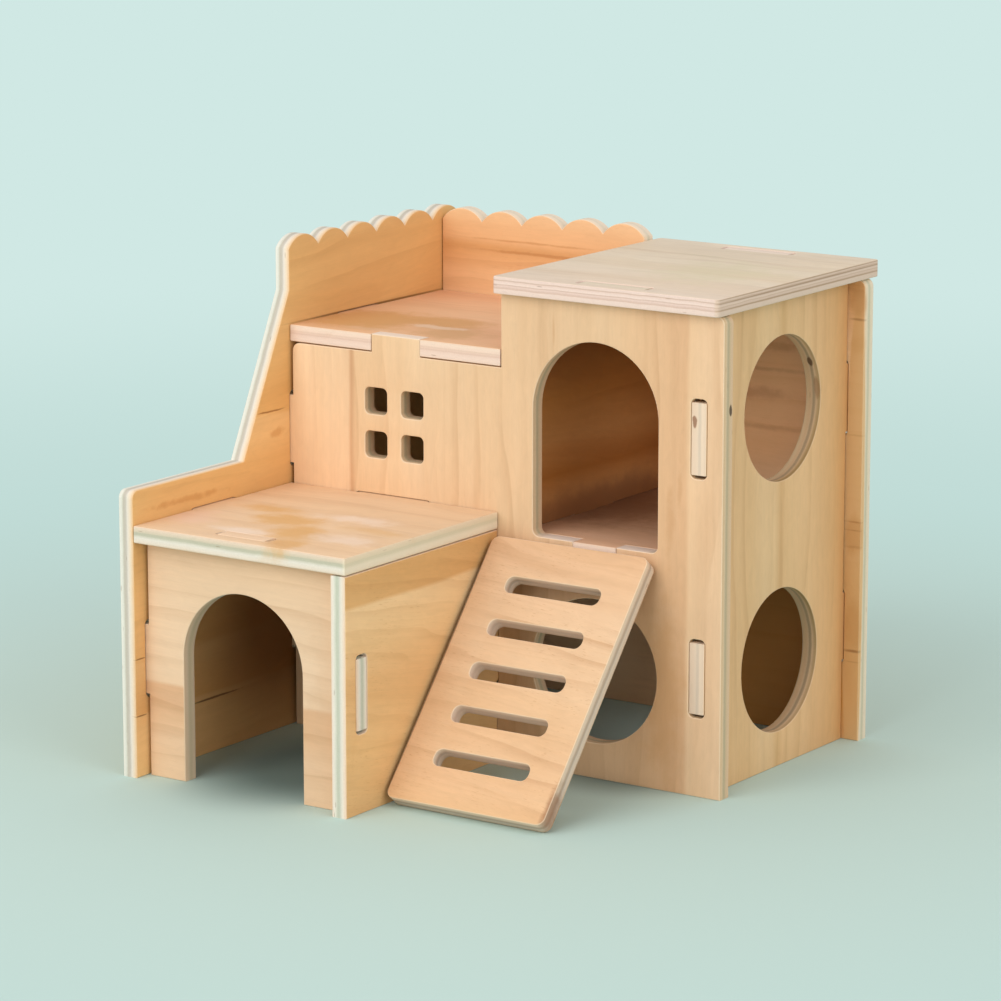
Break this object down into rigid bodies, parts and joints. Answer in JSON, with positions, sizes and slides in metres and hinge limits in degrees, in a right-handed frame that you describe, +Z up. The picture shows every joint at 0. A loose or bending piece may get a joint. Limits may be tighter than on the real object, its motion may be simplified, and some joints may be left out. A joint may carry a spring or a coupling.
{
  "type": "hamster house",
  "caption": "Plywood small-pet house with a tower, a middle room, a porch with an arched door, scalloped walls, a lift-off tower roof and a slotted ramp.",
  "frame": {"origin": "middle of the whole house's outline on the table, at the bottom of the walls", "axes": "+X to the right along the front wall, +Y from the porch to the back wall, +Z up"},
  "size_m": [0.1854, 0.194, 0.1766],
  "materials": {
    "warm_ply": "matte",
    "front_ply": "matte",
    "side_ply": "matte",
    "inside_ply": "matte",
    "roof_ply": "matte",
    "tower_roof_ply": "matte",
    "porch_ply": "matte",
    "ramp_ply": "matte"
  },
  "bodies": {
    "house": {"left_wall": "warm_ply", "back_wall": "warm_ply", "front_wall": "front_ply", "right_wall": "side_ply", "upper_floor": "inside_ply", "inner_wall": "inside_ply", "middle_roof": "roof_ply", "porch_front": "porch_ply", "porch_side": "side_ply", "porch_roof": "roof_ply"},
    "tower_roof": {"tower_roof": "tower_roof_ply"},
    "ramp": {"ramp": "ramp_ply"}
  },
  "joints": [
    {"name": "tower_roof_lift", "type": "slide", "parent": "house", "child": "tower_roof", "axis": [0, 0, 1], "range_m": [0, 0.04]},
    {"name": "ramp_swing", "type": "hinge", "parent": "house", "child": "ramp", "pos_m": [0.03575, -0.00865, 0.0778], "axis": [-1, 0, 0], "range_deg": [0, 50]}
  ]
}
